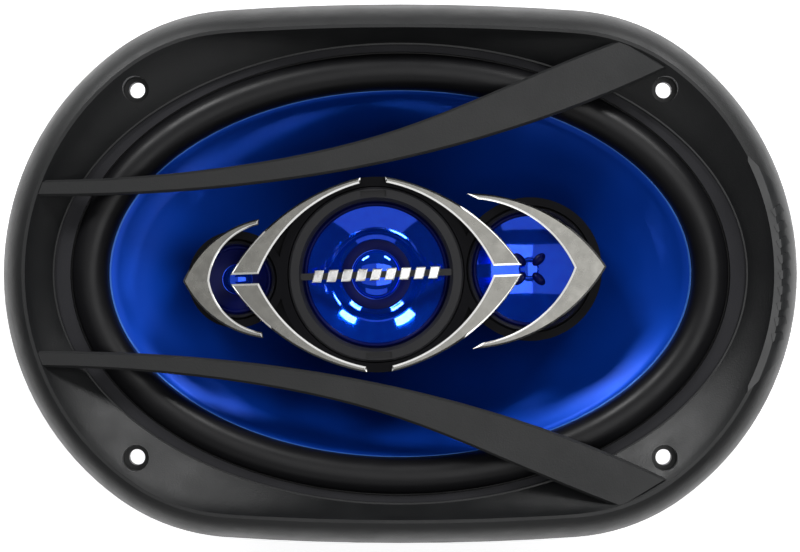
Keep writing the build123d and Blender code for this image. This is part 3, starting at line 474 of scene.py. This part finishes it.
# Maker, slot, then colour and roughness. A plastic may go on with its grain's size and
# depth in mm and its specular level, and a metal with its streaks' stretch.
FINISHES = {name: maker(name, *values) for maker, name, *values in (
    (plastic, "trim_plastic", (0.008, 0.0085, 0.0092), 0.47, 0.5, 0.05, 0.5),
    (plastic, "badge_plastic", (0.016, 0.017, 0.018), 0.36, 0.3, 0.012, 0.65),
    (plastic, "gasket_board", (0.022, 0.022, 0.025), 0.75, 0.5, 0.05, 0.2),
    (plastic, "surround_rubber", (0.006, 0.006, 0.007), 0.4, 0.4, 0.01, 0.3),
    (cone_finish, "cone_blue"),
    (cloth, "black_fabric", (0.02, 0.02, 0.02)),
    (cloth, "spider_fabric", (0.42, 0.32, 0.16)),
    (metal, "former", (0.8, 0.8, 0.8), 0.3),
    (metal, "winding", (0.62, 0.26, 0.1), 0.3, (1, 1, 0.2)),
    (metal, "tinsel", (0.7, 0.5, 0.3), 0.45),
    (painted, "basket_paint", (0.012, 0.012, 0.013), 0.38),
    (metal, "rivet_steel", (0.66, 0.66, 0.64), 0.3),
    (metal, "plated_steel", (0.62, 0.6, 0.54), 0.36),
    (plastic, "ferrite", (0.035, 0.035, 0.037), 0.6, 0.4, 0.03),
    (plastic, "boot_rubber", (0.010, 0.010, 0.011), 0.55, 0.5, 0.02),
    (plastic, "terminal_plastic", (0.02, 0.02, 0.021), 0.5),
    (metal, "positive_plating", (0.85, 0.62, 0.25), 0.28),
    (metal, "negative_plating", (0.75, 0.75, 0.74), 0.3),
    (metal, "post_steel", (0.6, 0.6, 0.6), 0.32),
    (plastic, "pod_plastic", (0.003, 0.003, 0.004), 0.42, 0.4, 0.006, 0.06),
    (plastic, "ring_plastic", (0.01, 0.01, 0.012), 0.38, 0.3, 0.008, 0.3),
    (mirror_finish, "mirror_blue"),
    (plastic, "edge_blue", (0.001, 0.003, 0.06), 0.34, 0.5, 0.006, 0.08),
    (metal, "small_steel", (0.55, 0.55, 0.55), 0.35),
    (plastic, "small_magnet", (0.05, 0.05, 0.05), 0.5),
    (plastic, "frame_plastic", (0.006, 0.006, 0.007), 0.5),
    (metal, "badge_chrome", (0.92, 0.92, 0.92), 0.14),
    (blade_finish, "blade_chrome"),
    (plastic, "capacitor_sleeve", (0.01, 0.02, 0.1), 0.35),
)}
SLOT_OF = {part["node"]: part["material_slot"] for part in frame["record"]["subparts"]}


def dress(piece, slot):
    """Give a new piece the finish of a record slot."""
    piece.data.materials.clear()
    piece.data.materials.append(FINISHES[slot].material)


for name, node in nodes.items():
    for material_slot in node.material_slots:
        material_slot.material = FINISHES[SLOT_OF[name]].material


# ------------------------------------------------------- cone and suspension
def make_cone():
    """Shell with a slight belly and a flat rim."""
    line = []
    for i in range(CONE_STEPS):
        share = i / CONE_STEPS
        belly = CONE_BELLY * math.sin(math.pi * share)
        line.append((share, NECK_Z + (CONE_TOP - NECK_Z) * share - belly))
    line += [(RIM_START, CONE_TOP), (1.0, CONE_TOP)]
    piece = lofted_cone("cone_shell", skin(line, CONE_WALL))
    dress(piece, "cone_blue")
    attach(piece, "cone_body")
    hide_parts("cone")


def make_rim_line():
    """Thin trimmed edge of the film round the cone's rim, whose lighter colour is a painted
    highlight.
    """
    line = [(share, CONE_TOP + rise) for share, rise in RIM_LINE]
    piece = lofted_cone("cone_rim_line", skin(line, RIM_LINE_WALL))
    piece.data.materials.append(rim_line_highlight_finish("rim_line").material)
    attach(piece, "cone_body")


def make_surround():
    """Half roll with a glued lip under the cone's rim and a flat foot."""
    lip_top, lip_low = CONE_TOP - CONE_WALL, CONE_TOP - 2 * CONE_WALL
    inner_r = ROLL_R - ROLL_WALL
    profile = [(-ROLL_R - LIP_REACH, lip_low), (-ROLL_R - LIP_REACH, lip_top),
               (-ROLL_R - LIP_BEND[0], lip_top), (-ROLL_R - LIP_BEND[1], CONE_TOP + LIP_RISE)]
    profile += half_roll(ROLL_R, ROLL_BASE, ROLL_STEPS)
    profile += [(FOOT_END, ROLL_BASE), (FOOT_END, ROLL_BASE - FOOT_WALL),
                (inner_r, ROLL_BASE - FOOT_WALL)]
    profile += reversed(half_roll(inner_r, ROLL_BASE, ROLL_STEPS))
    profile += [(-inner_r, lip_low)]
    piece = swept_oval("surround_roll", ROLL_A, ROLL_B, profile)
    dress(piece, "surround_rubber")

    def share(x, y, z):
        """The cone's pull, by how far in from the roll's outer foot a point stands."""
        reach = math.hypot(x / ROLL_A, y / ROLL_B)
        out = (reach - 1) / reach * math.hypot(x, y)
        turn = math.atan2(y / ROLL_B, x / ROLL_A)
        nx, ny = ROLL_B * math.cos(turn), ROLL_A * math.sin(turn)
        slant = (x * nx + y * ny) / (math.hypot(x, y) * math.hypot(nx, ny))
        return smooth_step(0.5 - out * slant / (2 * ROLL_R))

    follow(piece, "cone_body", share)
    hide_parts("surround")


def make_spider():
    """Corrugated cloth disc from the former to its landing."""
    r_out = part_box("spider")[1][0] / MM
    flat_r = r_out - SPIDER_FLAT
    first_r = SPIDER_R_IN + SPIDER_LIP
    line = []
    for i in range(SPIDER_STEPS + 1):
        r = SPIDER_R_IN + (r_out - SPIDER_R_IN) * i / SPIDER_STEPS
        t = (r - first_r) / (flat_r - first_r)
        wave = 0
        if 0 < t < 1:
            wave = (WAVE_HEIGHT * math.sin(2 * math.pi * WAVES * t)
                    * math.sin(math.pi * t) ** WAVE_FADE)
        line.append((r, SPIDER_BASE + SPIDER_WALL + wave))
    piece = lathe("spider_cloth", (0, 0), skin(line, SPIDER_WALL))
    dress(piece, "spider_fabric")

    def share(x, y, z):
        return 1 - smooth_step((math.hypot(x, y) - SPIDER_BEND_R) / (flat_r - SPIDER_BEND_R))

    follow(piece, "cone_body", share)
    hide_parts("spider")


def make_leads():
    """Two tinsel leads from the terminal tails to the cone's back."""
    start_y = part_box("tinsel_leads")[0][1] / MM + LEAD_START_IN

    def share(x, y, z):
        return smooth_step((y - start_y - LEAD_STILL) / LEAD_BEND)

    for side, label in ((-1, "left"), (1, "right")):
        knots = [(side * LEAD_X, start_y + dy, LEAD_START_Z + dz) for dy, dz in LEAD_FALL]
        piece = tube_along(f"tinsel_lead_{label}", curve_through(knots, LEAD_STEPS), LEAD_R)
        dress(piece, "tinsel")
        follow(piece, "cone_body", share)
        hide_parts("tinsel_leads")


# ------------------------------------------------------------- small drivers
def dish_line(driver):
    """Open line over a diaphragm: dome, flat and flare, from its axis to its rim."""
    low, dome_r, flat_r, bow = (driver[key] for key in ("low", "dome_r", "flat_r", "bow"))
    line = []
    for i in range(DOME_STEPS):
        t = math.pi / 2 * i / DOME_STEPS
        line.append((dome_r * math.sin(t), low + driver["rise"] * math.cos(t) ** DOME_POWER))
    flat_z = low + DISH_STEP
    line += [(dome_r, low), (flat_r, flat_z)]
    for i in range(1, FLARE_STEPS + 1):
        t = i / FLARE_STEPS
        line.append((flat_r + (driver["rim_r"] - flat_r) * t,
                     flat_z + (driver["rim_z"] - flat_z) * (bow * t + (1 - bow) * t * t)))
    return line


def make_small_drivers():
    for name, driver in DRIVERS.items():
        centre = centre_of(f"{name}_ring")
        dish = lathe(f"{name}_dish", centre, skin(dish_line(driver), DISH_WALL))
        dress(dish, "mirror_blue")
        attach(dish, driver["body"])
        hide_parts(f"{name}_diaphragm")
        make_small_edge(name, driver, centre)


def make_small_edge(name, driver, centre):
    """Small half roll between the dish and its frame."""
    base = bottom_of(f"{name}_edge") + EDGE_WALL
    r_in = driver["rim_r"] - EDGE_LAP
    middle, r = (r_in + driver["roll_end"]) / 2, (driver["roll_end"] - r_in) / 2
    line = [(middle + x, z) for x, z in half_roll(r, base, EDGE_STEPS)]
    line.append((half_size(f"{name}_edge", 0), base))
    piece = lathe(f"{name}_roll", centre, skin(line, EDGE_WALL))
    dress(piece, "edge_blue")

    def share(x, y, z):
        out = math.hypot(x - centre[0], y - centre[1]) - r_in
        return 1 - smooth_step((out - EDGE_GRIP) / (2 * r - EDGE_GRIP))

    follow(piece, driver["body"], share)
    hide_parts(f"{name}_edge")


def make_glue_ring():
    """Dark ring of glue round the middle dish's dome."""
    line = [(r, DRIVERS["mid"]["low"] + rise) for r, rise in GLUE_LINE]
    piece = lathe("mid_glue_ring", centre_of("mid_ring"), skin(line, GLUE_WALL))
    dress(piece, "edge_blue")
    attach(piece, "mid_body")


def make_horn():
    """Dark flare round the super tweeter's dome."""
    driver = DRIVERS["supertweeter"]
    line = [(r, driver["low"] + rise) for r, rise in HORN_LINE]
    line.append((HORN_END_R, driver["rim_z"] + HORN_END_RISE))
    piece = lathe("supertweeter_horn", centre_of("supertweeter_ring"), skin(line, HORN_WALL))
    dress(piece, "edge_blue")
    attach(piece, "supertweeter_body")


def make_vent_shade_patches():
    """Four dark oval patches round the tweeter's axis: painted shade where the vent slots
    would be, as the dish has no holes.
    """
    cx, cy = centre_of("tweeter_ring")
    z = DRIVERS["tweeter"]["low"] + PETAL_Z
    for i in range(PETALS):
        turn = 2 * math.pi * (i + 0.5) / PETALS
        ahead = (math.cos(turn), math.sin(turn))
        points = [(cx + PETAL_AT * ahead[0], cy + PETAL_AT * ahead[1], z)]
        for k in range(PETAL_STEPS):
            t = 2 * math.pi * k / PETAL_STEPS
            along, across = PETAL_AT + PETAL_LONG * math.cos(t), PETAL_WIDE * math.sin(t)
            points.append((cx + along * ahead[0] - across * ahead[1],
                           cy + along * ahead[1] + across * ahead[0],
                           z + PETAL_SLOPE * abs(along)))
        faces = [(0, 1 + k, 1 + (k + 1) % PETAL_STEPS) for k in range(PETAL_STEPS)]
        piece = piece_from(f"tweeter_vent_shade_{i + 1}", points, faces)
        piece.modifiers.new("thickness", "SOLIDIFY").thickness = PETAL_WALL * MM
        dress(piece, "edge_blue")
        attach(piece, "tweeter_body")


make_cone()
make_rim_line()
make_surround()
make_spider()
make_leads()
make_small_drivers()
make_glue_ring()
make_horn()
make_vent_shade_patches()

# -------------------------------------------------------------- stage, camera
FLOOR_SIZE = 6.0
FLOOR_GAP = 0.0005         # below the model's lowest point
FLOOR_COLOUR = (0.9, 0.9, 0.9)
FLOOR_GLOW = 0.7
# Name, place, the point that it faces, width, height and power in watts
SOFTBOXES = (
    ("front_box", (0, -1.2, 0.92), (0, 0, 0), 1.5, 0.95, 2.4),
    ("back_right", (0.64, 0.98, 0.78), (0, 0, 0), 0.40, 0.24, 7.5),
    ("back_left", (-0.66, 0.98, 0.79), (0, 0, 0), 0.44, 0.26, 9),
    ("top_right", (0.65, 0.0, 1.7), (0.65, 0, 0), 1.3, 1.5, 12),
    ("top_left", (-0.65, 0.0, 1.7), (-0.65, 0, 0), 1.3, 1.5, 2.6),
)
WORLD_RAMP = {"From Min": 0.02, "From Max": 0.2, "To Min": 0.9, "To Max": 0.04}
LENS, SENSOR = 141.3, 36   # mm
CAMERA_PLACE = (-0.0001, -0.0007, 0.95)


def make_floor():
    """White ground that glows enough to stay white."""
    height = cad_box[0][2] - FLOOR_GAP
    bpy.ops.mesh.primitive_plane_add(size=FLOOR_SIZE, location=(0, 0, height))
    floor = bpy.context.object
    floor.name = "floor"
    material = bpy.data.materials.new("floor_white")
    material.use_nodes = True
    shader = material.node_tree.nodes["Principled BSDF"]
    for socket, value in (("Base Color", (*FLOOR_COLOUR, 1)), ("Roughness", 0.9),
                          ("Emission Color", (1, 1, 1, 1)), ("Emission Strength", FLOOR_GLOW)):
        shader.inputs[socket].default_value = value
    floor.data.materials.append(material)


def make_softbox(name, place, aim, width, height, power):
    light = bpy.data.lights.new(name, "AREA")
    light.shape = "RECTANGLE"
    light.size, light.size_y = width, height
    light.energy = power
    lamp = bpy.data.objects.new(name, light)
    lamp.location = place
    facing = Vector(aim) - Vector(place)
    lamp.rotation_euler = facing.to_track_quat("-Z", "Y").to_euler()
    bpy.context.scene.collection.objects.link(lamp)


def make_world():
    """White at and below the horizon, almost dark above."""
    world = bpy.data.worlds.new("studio")
    world.use_nodes = True
    tree = world.node_tree
    direction = tree.nodes.new("ShaderNodeTexCoord").outputs["Generated"]
    split = tree.nodes.new("ShaderNodeSeparateXYZ")
    tree.links.new(direction, split.inputs["Vector"])
    ramp = tree.nodes.new("ShaderNodeMapRange")
    for socket, value in WORLD_RAMP.items():
        ramp.inputs[socket].default_value = value
    tree.links.new(split.outputs["Z"], ramp.inputs["Value"])
    background = tree.nodes["Background"]
    tree.links.new(ramp.outputs["Result"], background.inputs["Strength"])
    background.inputs["Color"].default_value = (1, 1, 1, 1)
    bpy.context.scene.world = world


def make_camera():
    """Camera straight above the middle, looking down."""
    data = bpy.data.cameras.new("camera")
    data.lens = LENS
    data.sensor_width = SENSOR
    camera = bpy.data.objects.new("camera", data)
    camera.location = CAMERA_PLACE
    bpy.context.scene.collection.objects.link(camera)
    bpy.context.scene.camera = camera


make_floor()
for values in SOFTBOXES:
    make_softbox(*values)
make_world()
bpy.context.scene.view_settings.view_transform = "Standard"
make_camera()
